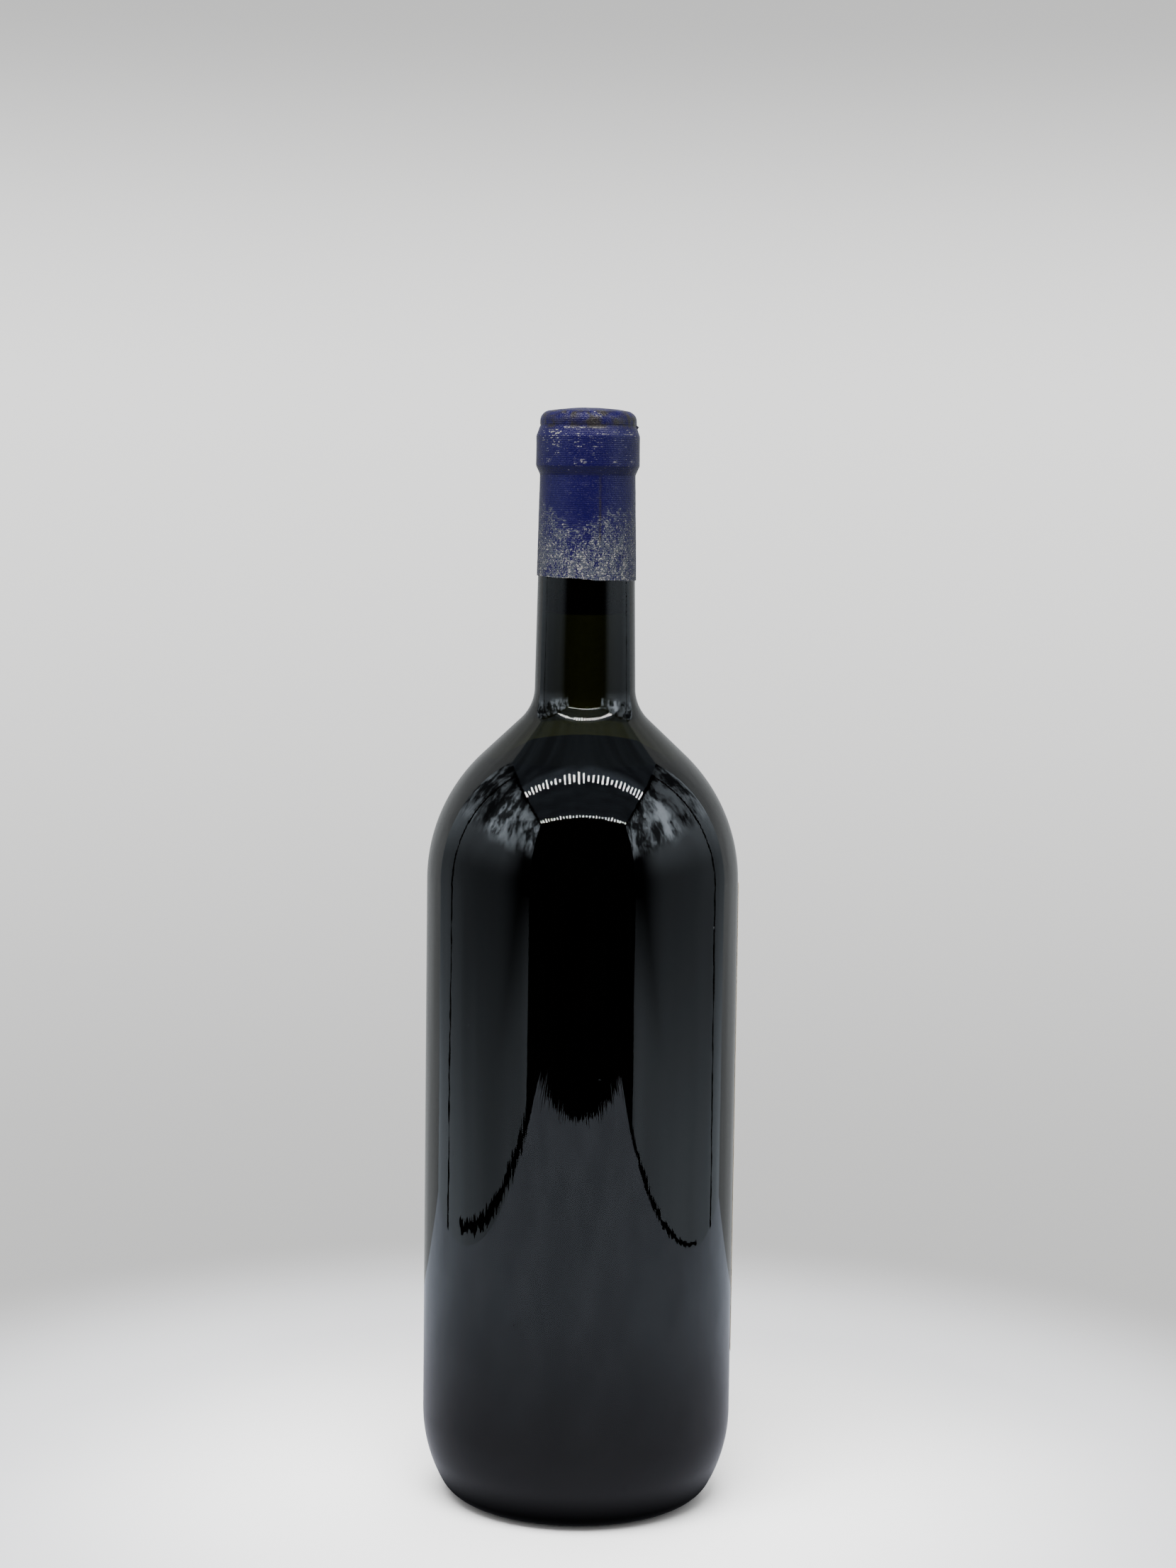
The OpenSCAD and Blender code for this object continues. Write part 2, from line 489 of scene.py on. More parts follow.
def aged_paper(colours):
    """Uncoated label paper, a little foxed and darker at its edges"""
    material, tree, output = blank_material("aged_label_paper")
    fibres = cloudy(tree, 1600.0, stretch=(1, 1, 0.35), detail=4.0, roughness=0.7)
    cross = cloudy(tree, 1500.0, stretch=(0.4, 0.4, 1), detail=3.0)
    weave = times(tree, plus(tree, fibres, cross), 0.5)
    blots = stretch_range(tree, cloudy(tree, 38.0, detail=5.0, roughness=0.6), 0.5, 0.72)
    foxing = stretch_range(tree, cloudy(tree, 260.0, detail=2.0), 0.70, 0.76)
    dark = [share * factor for share, factor in zip(colours.paper, (0.86, 0.80, 0.68))]
    colour = blend(tree, stretch_range(tree, weave, 0.35, 0.65), dark, colours.paper)
    colour = blend(tree, times(tree, blots, 0.35), colour, dark)
    colour = blend(tree, times(tree, foxing, 0.5), colour, (0.38, 0.25, 0.13))
    colour = blend(tree, times(tree, painted(tree, "edge"), 0.55), colour, (0.42, 0.34, 0.24))
    shown(tree, output, "ShaderNodeBsdfPrincipled", {
        "Base Color": colour, "Roughness": stretch_range(tree, weave, 0.3, 0.7, 0.7, 0.9),
        "Normal": bumped(tree, weave, 0.00006),
    })
    return material


# ---------------------------------------------------------------- pieces


def glass_places(s):
    """Works out from the sizes where the glass's straight parts and curves meet"""
    heel_x = s.body_radius - s.heel_radius
    toe_x = heel_x + math.sqrt(
        (s.heel_radius - s.toe_radius) ** 2 - (s.heel_height - s.toe_radius) ** 2
    )
    toe_angle = math.atan2(s.heel_height - s.toe_radius, toe_x - heel_x)
    punt_edge = toe_x - s.ring_width
    punt_radius = (punt_edge ** 2 + s.punt_height ** 2) / (2 * s.punt_height)
    punt_centre = s.punt_height - punt_radius
    punt_angle = math.atan2(-punt_centre, punt_edge)
    neck_z = s.height - s.neck_length
    turn = s.shoulder_angle
    slope_top = (
        s.neck_foot_radius + s.throat_radius * (1 - math.cos(turn)),
        neck_z - s.throat_radius * math.sin(turn),
    )
    slope_low_r = s.body_radius - s.shoulder_radius * (1 - math.cos(turn))
    slope_low_z = slope_top[1] - (slope_low_r - slope_top[0]) / math.tan(turn)
    shoulder_z = slope_low_z - s.shoulder_radius * math.sin(turn)
    return {
        "heel_x": heel_x, "toe_x": toe_x, "toe_angle": toe_angle, "punt_edge": punt_edge,
        "punt_centre": punt_centre, "punt_angle": punt_angle, "neck_z": neck_z,
        "slope_top": slope_top, "shoulder_z": shoulder_z,
    }


def draw_side_down(outline, s, places, inwards):
    """Draws the hollow's side from the shoulder down to its floor, and the floor in to its middle"""
    turn = s.shoulder_angle
    shoulder = s.shoulder_radius - inwards
    low = (
        s.body_radius - s.shoulder_radius + shoulder * math.cos(turn),
        places["shoulder_z"] + shoulder * math.sin(turn),
    )
    outline.to(*low, steps=6)
    outline.bend(s.body_radius - s.shoulder_radius, places["shoulder_z"], -turn, 20)
    outline.to(s.body_radius - inwards, s.heel_height, steps=10)
    outline.bend(places["heel_x"], s.heel_height, -places["toe_angle"], 8)
    outline.bend(places["toe_x"], s.toe_radius, places["toe_angle"] - math.pi / 2, 8)
    floor_angle = math.atan2(outline.pen.co.z - places["punt_centre"], outline.pen.co.x)
    outline.bend(0, places["punt_centre"], math.pi / 2 - floor_angle, 16)
    outline.pen.co.x = 0


class BOTTLE_OT_glass(bpy.types.Operator):
    """Build the glass bottle with its true walls"""

    bl_idname = "bottle.glass"
    bl_label = "Glass"

    def execute(self, context):
        s = context.scene.bottle_sizes
        places = glass_places(s)
        outline = Outline(0, s.punt_height)
        outline.bend(0, places["punt_centre"], places["punt_angle"] - math.pi / 2, 16)
        outline.pen.co.z = 0
        outline.to(places["toe_x"], 0)
        outline.bend(places["toe_x"], s.toe_radius, math.pi / 2 - places["toe_angle"], 14)
        outline.bend(places["heel_x"], s.heel_height, places["toe_angle"], 14)
        outline.to(s.body_radius, places["shoulder_z"], steps=24)
        outline.bend(s.body_radius - s.shoulder_radius, places["shoulder_z"], s.shoulder_angle, 34)
        outline.to(*places["slope_top"], steps=4)
        outline.bend(s.neck_foot_radius + s.throat_radius, places["neck_z"], -s.shoulder_angle, 18)
        finish_points = [
            (s.neck_radius, s.height - COLLAR_FOOT), (s.collar_radius, s.height - COLLAR_LOW),
            (s.collar_radius, s.height - COLLAR_TOP), (s.rim_radius, s.height - RIM_FOOT),
        ]
        outline.to(*finish_points[0], steps=8)
        for point in finish_points[1:]:
            outline.to(*point)
        outline.to(s.rim_radius, s.height - s.rim_round)
        outline.bend(s.rim_radius - s.rim_round, s.height - s.rim_round, math.pi / 2, 6)
        outline.to(s.bore_radius, s.height)
        outline.to(s.bore_foot_radius, places["neck_z"], steps=8)
        outline.bend(s.bore_foot_radius + s.throat_radius, places["neck_z"], s.shoulder_angle, 14)
        draw_side_down(outline, s, places, s.wall)
        mesh = outline.turned(s.around)
        material = dark_glass(context.scene.bottle_colours)
        declared(finished("glass_bottle", mesh, material), "glass")
        return {"FINISHED"}


class BOTTLE_OT_wine(bpy.types.Operator):
    """Build the wine, which reaches just into the glass all round"""

    bl_idname = "bottle.wine"
    bl_label = "Wine"

    def execute(self, context):
        s = context.scene.bottle_sizes
        places = glass_places(s)
        overlap = 0.1 * MM
        climb = 0.9 * MM
        wall_radius = places["slope_top"][0] - s.wall * math.cos(s.shoulder_angle) - 0.9 * MM
        # The surface climbs a little where it meets the glass
        outline = Outline(0, WINE_LEVEL - climb)
        outline.to(wall_radius - 3 * MM, WINE_LEVEL - climb, steps=3)
        outline.to(wall_radius - 1.2 * MM, WINE_LEVEL - 0.75 * MM)
        outline.to(wall_radius - 0.3 * MM, WINE_LEVEL - 0.35 * MM)
        outline.to(wall_radius + overlap, WINE_LEVEL)
        draw_side_down(outline, s, places, s.wall - overlap)
        mesh = outline.turned(128)
        material = dark_wine(context.scene.bottle_colours)
        declared(finished("wine_fill", mesh, material), "wine")
        return {"FINISHED"}


class BOTTLE_OT_cork(bpy.types.Operator):
    """Build the cork, pressed into the bore"""

    bl_idname = "bottle.cork"
    bl_label = "Cork"

    def execute(self, context):
        s = context.scene.bottle_sizes
        places = glass_places(s)
        press = 0.04 * MM

        def bore(height):
            share = (height - places["neck_z"]) / s.neck_length
            return s.bore_foot_radius + (s.bore_radius - s.bore_foot_radius) * share + press

        outline = Outline(0, CORK_LOW)
        outline.to(bore(CORK_LOW), CORK_LOW, steps=4)
        outline.to(bore(CORK_HIGH), CORK_HIGH, steps=24)
        outline.to(0, CORK_HIGH, steps=4)
        outline.soften([(bore(CORK_LOW), CORK_LOW), (bore(CORK_HIGH), CORK_HIGH)], 0.6 * MM)
        mesh = outline.turned(96)
        for vert in mesh.verts:
            if vert.co.xy.length < bore(vert.co.z) - 0.8 * MM:
                vert.co.z += 0.25 * MM * noise.noise(vert.co * 420)
        material = aged_cork(context.scene.bottle_colours)
        declared(finished("cork_stopper", mesh, material), "cork")
        return {"FINISHED"}


class BOTTLE_OT_capsule(bpy.types.Operator):
    """Build the foil capsule with its dents, folds, torn edge and rubbed places"""

    bl_idname = "bottle.capsule"
    bl_label = "Capsule"

    def shape(self, s):
        """The capsule's outline, outside from the top down to the hem and back up inside"""
        low, t = CAPSULE_LOW, s.foil
        places = glass_places(s)
        collar_top, collar_low = s.height - COLLAR_TOP, s.height - COLLAR_LOW
        over, under = s.height - RIM_FOOT, s.height - COLLAR_FOOT
        hem_share = (under - low) / (under - places["neck_z"])
        hem = s.neck_radius + (s.neck_foot_radius - s.neck_radius) * hem_share + 0.1 * MM
        flat = s.rim_radius - s.rim_round
        crown = CAPSULE_HIGH - 0.12 * MM
        rise = crown - s.height - t
        crown_radius = (flat ** 2 + rise ** 2) / (2 * rise)
        outline = Outline(0, crown)
        outline.bend(0, crown - crown_radius, -math.asin(flat / crown_radius), 14)
        outline.bend(flat, s.height - s.rim_round, -math.pi / 2, 10)
        outline.to(s.rim_radius + t, over + 0.5 * MM, steps=5)
        outline.to(s.rim_radius + 0.62 * t, over, steps=2)
        outline.to(s.rim_radius + t + 0.2 * MM, over - 0.7 * MM, steps=3)
        outline.to(s.collar_radius + t, collar_top, steps=8)
        outline.to(s.collar_radius + t, collar_low, steps=18)
        outline.to(s.neck_radius + t, under, steps=7)
        outline.to(hem + t, low, steps=72)
        outline.to(hem, low)
        outline.to(s.neck_radius, under, steps=10)
        outline.to(s.collar_radius, collar_low)
        outline.to(s.collar_radius, collar_top)
        outline.to(s.rim_radius, over)
        outline.to(s.rim_radius, s.height - s.rim_round)
        outline.bend(flat, s.height - s.rim_round, math.pi / 2, 6)
        outline.to(0, s.height, steps=2)
        outline.soften([(s.collar_radius + t, collar_top), (s.collar_radius + t, collar_low)], 0.45 * MM)
        outline.soften([(s.neck_radius + t, under)], 0.35 * MM)
        return outline

    def execute(self, context):
        s = context.scene.bottle_sizes
        mesh = self.shape(s).turned(208)
        rubbed_layer = mesh.verts.layers.float.new("rubbed")
        grime_and_crease_shade_layer = mesh.verts.layers.float.new("dirt")
        ribbed_layer = mesh.verts.layers.float.new("ribbed")
        for vert in mesh.verts:
            place = vert.co.copy()
            out = Vector((place.x, place.y, 0))
            radius = out.length
            out = out / radius if radius > 1e-6 else Vector((0, 0, 0))
            angle = math.atan2(place.x, -place.y)
            below_top = (s.height - place.z) / MM
            above_hem = (place.z - CAPSULE_LOW) / MM
            broad = noise.noise(place * 130)
            fine = noise.noise(place * 520)
            bead = smoothstep(5.3, 3.5, below_top)
            # Lumps in the rolled top, shallow dents in the sleeve, an uneven hem
            move = out * MM * (0.05 * broad + 0.03 * fine + 0.10 * bead * fine)
            move.z += MM * bead * (0.12 * noise.noise(place * 260) - 0.08)
            edge = smoothstep(9, 0, above_hem)
            slant = -0.62 * math.sin(angle) + 0.22 * noise.noise(out * 2.1) + 0.12 * noise.noise(out * 9)
            move.z += MM * edge * slant
            move += out * MM * edge * (0.06 * noise.noise(out * 7) - 0.04)
            # A vertical fold at the front and a torn flap under the rolled top
            fold = hump(angle, 0.27, 0.02)
            fold *= smoothstep(10, 14, above_hem) * smoothstep(34, 30, above_hem)
            move -= out * MM * 0.22 * fold
            flap = hump(angle, 1.53, 0.03) * hump(below_top, 4.8, 0.42)
            move += out * MM * 0.85 * flap
            vert.co += move
            # Rubbed places: the hem and lower sleeve, the collar's upper edge, a few scratches
            reach = 19.5 + 4 * noise.noise(out * 1.7 + Vector((0, 0, 3))) + 3.0 * noise.noise(out * 6)
            reach += 6 * hump(abs(angle), 1.25, 0.42) - 2.5 * hump(angle, -0.1, 0.5)
            rubbed = 0.62 * smoothstep(reach + 1.0, reach - 2.0, above_hem)
            rubbed += 0.24 * smoothstep(reach - 4, reach - 13, above_hem)
            rubbed += 0.25 * smoothstep(10, 3, above_hem) * patchy(out * 3 + place * 60, -0.1, 0.35)
            rubbed = max(rubbed, 1.2 * smoothstep(0.9, 0.2, above_hem))
            ring = hump(below_top, 6.9, 1.0) * smoothstep(-0.3, 0.15, noise.noise(out * 3.5) + 0.12)
            band = hump(below_top, 9.8, 2.4) * patchy(out * 2.3 + Vector((0, 0, 1)), -0.15, 0.3)
            lower = hump(below_top, 15.8, 0.9) * patchy(out * 4 + Vector((0, 0, 5)), -0.05, 0.3)
            behind = 0.35 * (abs(angle) > 1.6)
            worked = max(hump(angle, -0.32, 0.55), 0.6 * hump(angle, 1.0, 0.2), behind)
            ring *= 0.2 + 0.8 * worked
            band *= 0.1 + 0.9 * worked
            rubbed = max(rubbed, 0.86 * ring, 0.6 * band, 0.55 * lower)
            rubbed = max(rubbed, 0.8 * hump(below_top, 5.2, 0.35) * hump(angle, -0.15, 0.5))
            rubbed = max(rubbed, 0.2 * bead * smoothstep(-0.1, 0.4, broad + 0.3 * fine))
            vert[rubbed_layer] = rubbed
            on_collar = smoothstep(5.0, 6.0, below_top) * smoothstep(20.3, 18.3, below_top)
            unrubbed = smoothstep(reach - 7, reach, above_hem) * smoothstep(3.3, 5.3, below_top)
            vert[ribbed_layer] = max(on_collar, unrubbed)
            # Dirt on the rolled top, dirt and painted shade in the groove, and painted shade along the
            # fold
            groove = hump(below_top, 4.7, 0.7) * patchy(out * 2.6 + Vector((0, 0, 7)), -0.35, 0.2)
            smear = 0.4 * hump(below_top, 3.2, 1.0) * hump(angle, -0.1, 0.6)
            grime = bead * smoothstep(-0.2, 0.25, fine + smear) * smoothstep(9, 13, radius / MM)
            vert[grime_and_crease_shade_layer] = min(groove + grime + 1.2 * fold, 1.0)
        material = worn_foil(context.scene.bottle_colours)
        declared(finished("foil_capsule", mesh, material, sharp=math.radians(75)), "capsule")
        return {"FINISHED"}


class BOTTLE_OT_label(bpy.types.Operator):
    """Build the blank paper label with its worn edges and torn corner"""

    bl_idname = "bottle.label"
    bl_label = "Label"

    def execute(self, context):
        s = context.scene.bottle_sizes
        start, sweep = math.radians(-2.0), math.radians(174.2)
        mesh = bmesh.new()
        stem = mesh.verts.new((s.body_radius, 0, LABEL_LOW))
        grown = bmesh.ops.extrude_vert_indiv(mesh, verts=[stem])["verts"][0]
        grown.co.z = LABEL_HIGH
        bmesh.ops.subdivide_edges(mesh, edges=mesh.edges[:], cuts=110)
        bmesh.ops.rotate(mesh, verts=mesh.verts, cent=(0, 0, 0), matrix=Matrix.Rotation(start, 3, "Z"))
        bmesh.ops.spin(
            mesh, geom=mesh.verts[:] + mesh.edges[:], cent=(0, 0, 0), axis=(0, 0, 1),
            dvec=(0, 0, 0), angle=sweep, steps=150, use_merge=False, use_duplicate=False,
        )
        edge_layer = mesh.verts.layers.float.new("edge")
        for vert in mesh.verts:
            angle = math.atan2(vert.co.y, vert.co.x)
            angle = angle + math.tau if angle < -math.pi / 2 else angle
            along = (angle - start) * s.body_radius / MM
            back = (start + sweep - angle) * s.body_radius / MM
            below = (LABEL_HIGH - vert.co.z) / MM
            above = (vert.co.z - LABEL_LOW) / MM
            rough = noise.noise(Vector((along * 0.35, 0, vert.co.z * 350)))
            tear = smoothstep(15, 2, below) * smoothstep(6, 0, along)
            turn = tear * (0.011 + 0.012 * rough) + smoothstep(2, 0, along) * 0.0025 * (0.4 + rough)
            turn -= smoothstep(2, 0, back) * 0.003 * (0.4 + rough)
            vert.co = Matrix.Rotation(turn, 3, "Z") @ vert.co
            ends = 0.14 * noise.noise(Vector((along * 0.6, 3, 0)))
            vert.co.z += MM * (ends * smoothstep(1.5, 0, above) - abs(ends) * smoothstep(1.5, 0, below))
            lift = 0.02 + 0.07 * smoothstep(5, 0, along) + 0.05 * smoothstep(6, 0, back)
            lift += 0.012 * (1 + noise.noise(vert.co * 90))
            flat = Vector((vert.co.x, vert.co.y, 0)).normalized()
            vert.co += flat * MM * lift
            nearest = min(along, back, below, above)
            vert[edge_layer] = max(smoothstep(2.2, 0, nearest + rough), 0.9 * tear)
        bmesh.ops.remove_doubles(mesh, verts=mesh.verts, dist=1e-7)
        bmesh.ops.recalc_face_normals(mesh, faces=mesh.faces)
        middle = mesh.faces[len(mesh.faces) // 2]
        if middle.normal.dot(middle.calc_center_median().xy.to_3d()) < 0:
            bmesh.ops.reverse_faces(mesh, faces=mesh.faces)
        bmesh.ops.solidify(mesh, geom=mesh.faces[:], thickness=-s.paper)
        material = aged_paper(context.scene.bottle_colours)
        declared(finished("paper_label", mesh, material), "label")
        return {"FINISHED"}


# ---------------------------------------------------------------- stage


def cloth_light(name, colour, strength, low, high):
    """Tent cloth that gives off its own light, with soft clouds in it"""
    material, tree, output = blank_material(name)
    clouds = stretch_range(tree, cloudy(tree, 9.0, detail=4.0), 0.3, 0.7, low, high)
    glowing(tree, output, colour, times(tree, clouds, strength))
    return material


def side_cloth(name, colour, strength):
    """Cloth of a side wall: brightest high up in the middle, dim low down and at its front edge"""
    material, tree, output = blank_material(name)
    depth, height = own_axis(tree, 1), own_axis(tree, 2)
    creases = stretch_range(
        tree, cloudy(tree, 9.0, stretch=(1, 1.3, 0.8), detail=6.0, roughness=0.68, turn=(0.5, 0, 0)),
        0.42, 0.62, 0.25, 4.2,
    )
    soft = stretch_range(tree, cloudy(tree, 3.0, stretch=(1, 1, 0.5)), 0.35, 0.65, 0.8, 1.2)
    high = stretch_range(tree, height, 0.34, 0.42)
    folds = between(tree, high, soft, creases)
    rise = stretch_range(tree, height, 0.22, 0.36, 0.42, 1.15)
    foot = stretch_range(tree, height, 0.005, 0.16, 2.4, 1.0)
    shade = stretch_range(tree, depth, -0.42, -0.20, 0.03, 1.0)
    above = stretch_range(tree, height, 0.36, 0.50)
    below = stretch_range(tree, height, 0.06, 0.15, 1.0, 0.0)
    front = reckon(tree, "MAXIMUM", shade, reckon(tree, "MAXIMUM", above, below))
    # The cloth dims again towards the roof, and behind the bottle
    top = stretch_range(tree, height, 0.60, 0.70, 1.0, 0.35)
    back = stretch_range(tree, depth, -0.09, -0.02, 1.0, 0.35)
    back = between(tree, high, 1.0, back)
    light = times(tree, times(tree, rise, foot), front)
    light = times(tree, times(tree, light, top), back)
    # Light falls most strongly on one part of each wall
    beside = times(tree, plus(tree, depth, 0.10), 13.0)
    upwards = times(tree, plus(tree, height, -0.46), 9.0)
    away = plus(tree, times(tree, beside, beside), times(tree, upwards, upwards))
    spot = stretch_range(tree, away, 0.2, 1.6, 1.55, 0.95)
    light = times(tree, times(tree, light, folds), strength)
    glowing(tree, output, colour, times(tree, light, spot))
    return material


def in_reflections_only(thing):
    """Leaves a stage piece out of everything but reflections"""
    thing.visible_camera = False
    thing.visible_diffuse = False
    thing.visible_transmission = False
    thing.visible_volume_scatter = False
    thing.visible_shadow = False


def panel(name, corners, material):
    """A flat stage panel through its corners"""
    mesh = bmesh.new()
    mesh.faces.new([mesh.verts.new(corner) for corner in corners])
    return as_object(name, mesh, material)


def strip(name, start, end, widths, material):
    """A narrow upright band with frayed edges, from one width at its start to another at its end"""
    steps = 180
    start, end = Vector(start), Vector(end)
    across = (end - start).cross(Vector((1, 0, 0))).normalized() / 2
    mesh = bmesh.new()
    rim = []
    for step in range(steps + 1):
        share = step / steps
        width = widths[0] + (widths[1] - widths[0]) * share
        middle = start.lerp(end, share)
        pair = []
        for side in (-1, 1):
            fray = max(1 + 1.6 * noise.noise(middle * 150 + Vector((0, 0, side * 7))), 0.1)
            pair.append(mesh.verts.new(middle + across * width * side * fray))
        rim.append(pair)
    for (low, high), (next_low, next_high) in zip(rim, rim[1:]):
        mesh.faces.new((low, next_low, next_high, high))
    return as_object(name, mesh, material)


class BOTTLE_OT_stage(bpy.types.Operator):
    """Build the floor, the light tent, the lights and the camera"""

    bl_idname = "bottle.stage"
    bl_label = "Stage"

    # The tent's sizes, in metres
    half_width = 0.385
    tent_top = 0.71
    tent_front = -0.50
    tent_back = 0.25
    floor_front = -0.67
    # How brightly its cloths glow
    wall_glow = 0.88
    roof_glow = 0.42
    back_glow = 0.5
    dark_glow = 0.012
    # How far the floor's front edge frays, and in how many steps it is drawn
    hem_fray = 0.09
    hem_steps = 320
    # Each row of small lights: its depth, and the usual length of a light
    bead_rows = ((-0.152, 0.056), (-0.48, 0.026))
    bead_count = 29
    bead_reach = 0.376

    def floor(self):
        """A pale floor that fades into the pale background, with a painted pool of light round the bottle
        """
        material, tree, output = blank_material("pale_floor")
        reach = from_middle(tree)
        # Painted pool of light: the floor's colour is pale near the bottle and greyer further out
        share = stretch_range(tree, reach, 0.06, 0.22)
        grain = stretch_range(tree, cloudy(tree, 6.0), 0.3, 0.7, 0.0, 0.06)
        share = plus(tree, share, grain, clamp=True)
        colour = blend(tree, share, (0.90, 0.90, 0.90), (0.50, 0.505, 0.52))
        cloth = add(tree, "ShaderNodeBsdfDiffuse", {"Color": colour})
        clear = add(tree, "ShaderNodeBsdfTransparent")
        fade = stretch_range(tree, reach, 0.19, 0.34)
        both = {0: fade, 1: cloth.outputs[0], 2: clear.outputs[0]}
        shown(tree, output, "ShaderNodeMixShader", both)
        mesh = bmesh.new()
        bmesh.ops.create_circle(mesh, cap_ends=True, radius=0.36, segments=96)
        thing = as_object("floor", mesh, material)
        thing.visible_glossy = False

    def tent(self, look):
        """The tent as the glass mirrors it: walls, roof, seams, white floor and the dark room round it"""
        side, top, front, back = self.half_width, self.tent_top, self.tent_front, self.tent_back
        light = look.tent_light
        wall = side_cloth("tent_wall_cloth", (0.80, 0.90, 1.0), self.wall_glow * light)
        for name, x in (("left", -side), ("right", side)):
            edge = [(x, front, 0), (x, front, top), (x, back, top), (x, back, 0)]
            in_reflections_only(panel(f"tent_wall_{name}", edge, wall))
        roof = self.roof_cloth(self.roof_glow * light)
        edge = [(-side, front, top), (side, front, top), (side, back, top), (-side, back, top)]
        in_reflections_only(panel("tent_roof", edge, roof))
        behind = cloth_light("tent_back_cloth", (0.94, 0.98, 1.0), self.back_glow * light, 0.9, 1.1)
        edge = [(-side, back, 0), (side, back, 0), (side, back, top), (-side, back, top)]
        in_reflections_only(panel("tent_back", edge, behind))
        ground = self.ground_cloth(light)
        hem = []
        for step in range(self.hem_steps + 1):
            x = side * (2 * step / self.hem_steps - 1)
            fray = noise.noise(Vector((x * 150, 0, 2))) * (0.3 + abs(x) / side)
            hem.append((x, self.floor_front + self.hem_fray * fray, 0))
        in_reflections_only(panel("tent_floor", [(-side, back, 0), *hem, (side, back, 0)], ground))
        dark = cloth_light("dark_cloth", (1, 1, 1), self.dark_glow, 0.6, 1.4)
        mesh = bmesh.new()
        bmesh.ops.create_cone(
            mesh, cap_ends=True, segments=64, radius1=1.4, radius2=1.4, depth=2.4,
            matrix=Matrix.Translation((0, 0, 1.0)),
        )
        in_reflections_only(as_object("dark_room", mesh, dark))
        # Dark seams, a little in from the walls
        gap = 0.004
        for name, x, fold, foot, widths in (
            ("left", -side + gap, 0.12, 0.009, (0.014, 0.005)),
            ("right", side - gap, 0.14, 0.003, (0.010, 0.0016)),
        ):
            seams = {
                "roof": ((x, front, top - 0.018), (x, 0.10, top - 0.018), (0.03, 0.03)),
                "foot": ((x, self.floor_front, foot), (x, 0.02, foot), widths),
                "fold": ((x, fold, 0), (x, fold - 0.06, top), (0.012, 0.012)),
            }
            for place, (start, end, both) in seams.items():
                in_reflections_only(strip(f"seam_{place}_{name}", start, end, both, dark))

    def roof_cloth(self, strength):
        """The roof's cloth, lit more strongly just behind the first row of lights"""
        material, tree, output = blank_material("tent_roof_cloth")
        depth = own_axis(tree, 1)
        rise = stretch_range(tree, depth, -0.17, -0.13, 0.70, 1.75)
        fall = stretch_range(tree, depth, -0.10, -0.045, 1.0, 0.32)
        clouds = cloudy(tree, 7.0, stretch=(1, 2, 1), detail=4.0)
        creases = stretch_range(tree, clouds, 0.3, 0.7, 0.65, 1.2)
        light = times(tree, times(tree, times(tree, rise, fall), creases), strength)
        glowing(tree, output, (0.74, 0.88, 1.06), light)
        return material

    def ground_cloth(self, light):
        """The tent's white floor, dimmer where the bottle keeps light from it"""
        material, tree, output = blank_material("tent_floor_cloth")
        reach = from_middle(tree)
        clouds = cloudy(tree, 6.0, detail=3.0)
        clouds = stretch_range(tree, clouds, 0.32, 0.68, 0.90 * light, 1.08 * light)
        far = stretch_range(tree, reach, 0.10, 0.34)
        colour = blend(tree, far, (0.50, 0.51, 0.58), (0.80, 0.88, 1.02))
        near = stretch_range(tree, reach, 0.042, 0.058, 0.05, 1.0)
        glowing(tree, output, colour, times(tree, clouds, near))
        return material

    def beads(self, look):
        """Two rows of small lights under the roof's front"""
        material, tree, output = blank_material("light_beads")
        glowing(tree, output, (1, 0.985, 0.95), look.bead_light)
        for row, (depth, usual) in enumerate(self.bead_rows):
            mesh = bmesh.new()
            for number in range(self.bead_count):
                x = self.bead_reach * (2 * number / (self.bead_count - 1) - 1)
                run = usual * (1 + 0.9 * noise.noise(Vector((number * 0.9, row, 0.5))))
                place = Matrix.Translation((x, depth, self.tent_top - 0.004))
                size = Matrix.Diagonal((0.009, run, 0.002, 1))
                bmesh.ops.create_cube(mesh, size=1.0, matrix=place @ size)
            in_reflections_only(as_object(f"light_row_{row}", mesh, material))

    def lamp(self, name, place, aim, size, power):
        """A large soft light that shows only by what it lights"""
        data = bpy.data.lights.new(name, "AREA")
        data.shape = "RECTANGLE"
        data.size, data.size_y = size
        data.energy = power
        thing = bpy.data.objects.new(name, data)
        thing.location = place
        thing.rotation_euler = (Vector(aim) - Vector(place)).to_track_quat("-Z", "Y").to_euler()
        bpy.context.scene.collection.objects.link(thing)
        thing.visible_camera = False
        thing.visible_glossy = False
        thing.visible_transmission = False

    def background(self):
        """A pale studio wall, a little darker towards its foot and at the very top"""
        world = bpy.data.worlds.new("pale_studio")
        bpy.context.scene.world = world
        world.use_nodes = True
        tree = world.node_tree
        tree.nodes.clear()
        way = add(tree, "ShaderNodeTexCoord").outputs["Generated"]
        height = add(tree, "ShaderNodeSeparateXYZ", {0: way}).outputs[2]
        share = add(
            tree, "ShaderNodeMapRange",
            {"Value": height, "From Min": -0.4, "From Max": 0.6, "To Min": 0.0, "To Max": 1.0},
        ).outputs[0]
        ramp = add(tree, "ShaderNodeValToRGB", {0: share})
        ramp.color_ramp.interpolation = "B_SPLINE"
        # From straight down to straight up: where on the ramp, and how bright
        tones = (
            (0.12, 0.42), (0.17, 0.42), (0.25, 0.56), (0.33, 0.74), (0.40, 0.85), (0.44, 0.88),
            (0.49, 0.66), (0.54, 0.33), (0.70, 0.42), (1.0, 0.55),
        )
        elements = ramp.color_ramp.elements
        while len(elements) < len(tones):
            elements.new(0.5)
        for element, (position, tone) in zip(elements, tones):
            element.position = position
            element.color = (tone, tone * 0.998, tone * 0.99, 1)
        background = add(tree, "ShaderNodeBackground", {"Color": ramp.outputs[0], "Strength": 2.0})
        output = add(tree, "ShaderNodeOutputWorld")
        tree.links.new(background.outputs[0], output.inputs["Surface"])

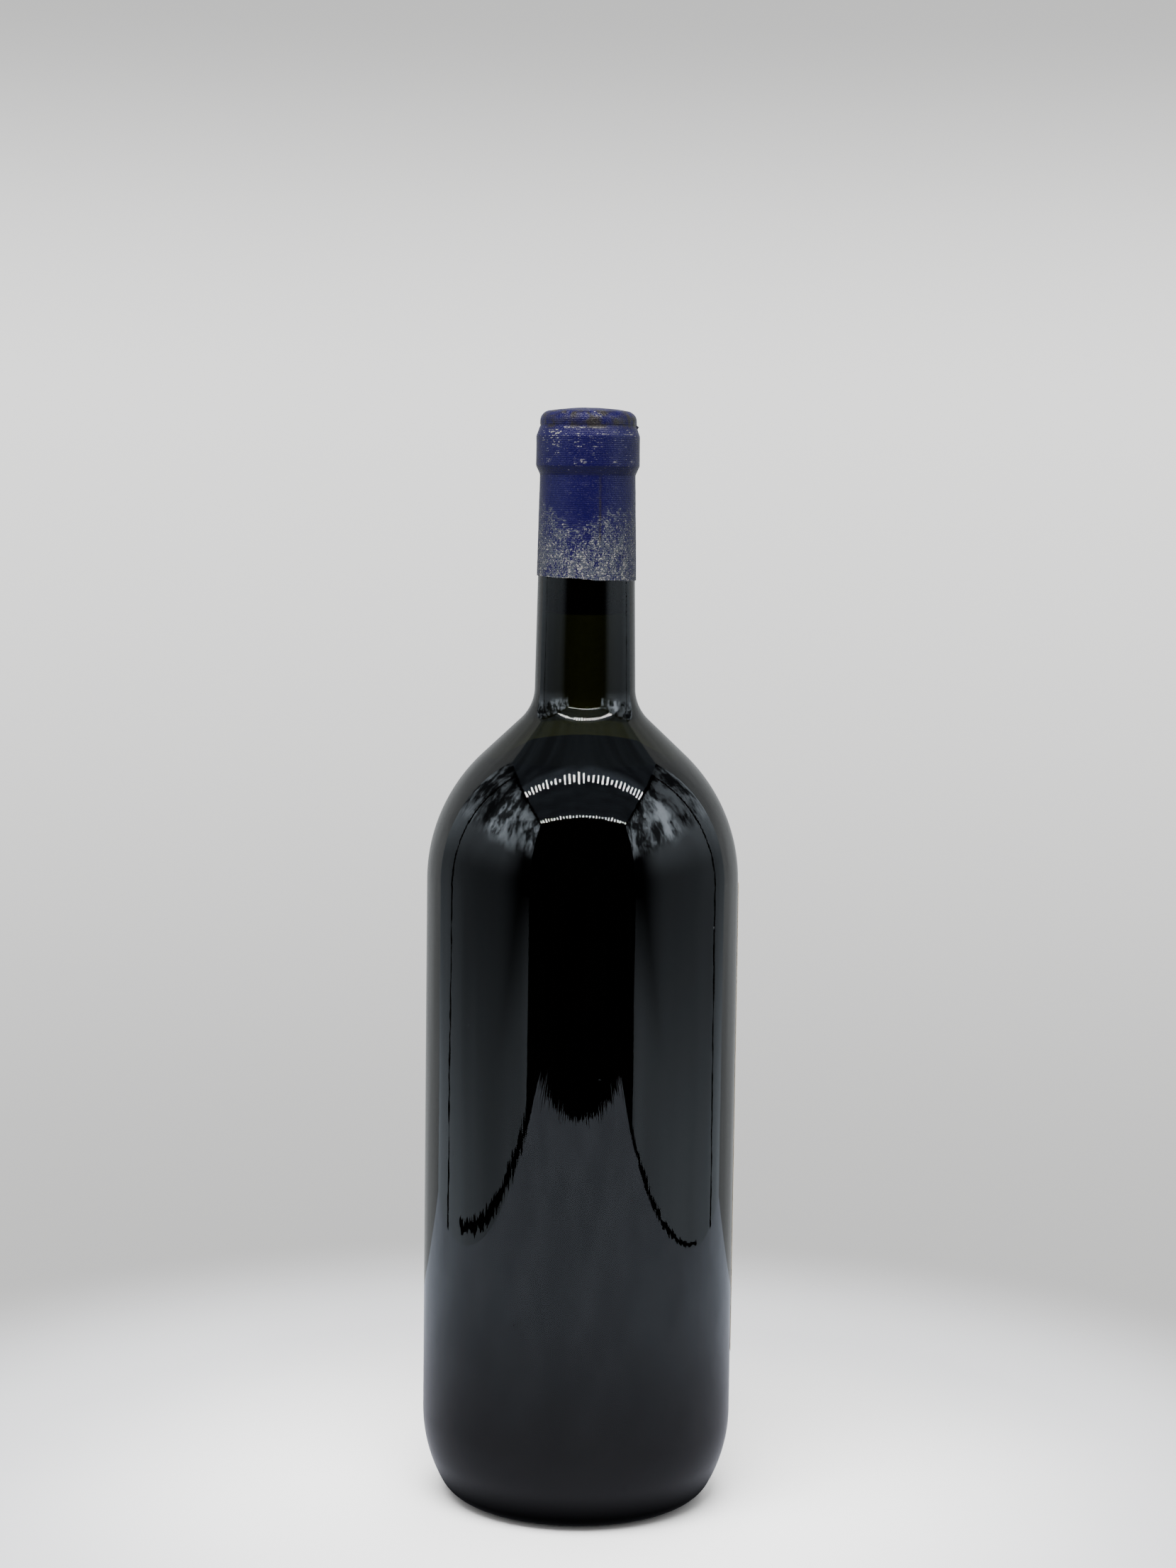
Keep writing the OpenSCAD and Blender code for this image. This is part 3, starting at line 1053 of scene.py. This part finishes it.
    def camera(self, look):
        """The camera, level with the capsule and looking a little down"""
        data = bpy.data.cameras.new("camera")
        data.sensor_width = 36
        data.lens = look.lens
        data.clip_start = 0.01
        thing = bpy.data.objects.new("camera", data)
        tilt = Euler((math.pi / 2 - look.camera_tilt, 0, 0)).to_matrix()
        lean = Matrix.Rotation(look.camera_roll, 3, "Z")
        thing.matrix_world = Matrix.Translation(look.camera_place) @ (tilt @ lean).to_4x4()
        bpy.context.scene.collection.objects.link(thing)
        bpy.context.scene.camera = thing

    def execute(self, context):
        look = context.scene.bottle_stage
        self.floor()
        self.tent(look)
        self.beads(look)
        self.lamp("key_light", (-0.1, -0.4, 0.95), (0, 0, 0.15), (0.7, 0.5), look.key_power)
        self.lamp("fill_light", (0.25, 0.6, 0.85), (0, 0, 0.15), (0.8, 0.6), look.fill_power)
        self.background()
        self.camera(look)
        return {"FINISHED"}


# ---------------------------------------------------------------- panel and start


class BOTTLE_PT_panel(bpy.types.Panel):
    """Buttons for the bottle's pieces, and its sizes and colours"""

    bl_idname = "BOTTLE_PT_panel"
    bl_label = "Wine Bottle"
    bl_space_type = "VIEW_3D"
    bl_region_type = "UI"
    bl_category = "Bottle"

    def draw(self, context):
        scene = context.scene
        column = self.layout.column(align=True)
        for operator in PIECES:
            column.operator(operator.bl_idname)
        groups = {
            "Sizes": scene.bottle_sizes, "Colours": scene.bottle_colours, "Stage": scene.bottle_stage,
        }
        for title, group in groups.items():
            box = self.layout.box()
            box.label(text=title)
            for name in group.__annotations__:
                box.prop(group, name)


PIECES = (
    BOTTLE_OT_glass, BOTTLE_OT_wine, BOTTLE_OT_cork, BOTTLE_OT_capsule, BOTTLE_OT_label, BOTTLE_OT_stage,
)
GROUPS = {"bottle_sizes": BottleSizes, "bottle_colours": BottleColours, "bottle_stage": StageLook}


def register():
    """Makes the settings, operators and panel known to Blender"""
    for group in (*GROUPS.values(), *PIECES, BOTTLE_PT_panel):
        bpy.utils.register_class(group)
    for name, group in GROUPS.items():
        setattr(bpy.types.Scene, name, PointerProperty(type=group))


def unregister():
    """Takes them away again"""
    for name in GROUPS:
        delattr(bpy.types.Scene, name)
    for group in (BOTTLE_PT_panel, *reversed(PIECES), *reversed(GROUPS.values())):
        bpy.utils.unregister_class(group)


def main():
    """Builds every piece and the stage"""
    register()
    for operator in PIECES:
        family, name = operator.bl_idname.split(".")
        getattr(getattr(bpy.ops, family), name)()


if __name__ == "__main__":
    main()
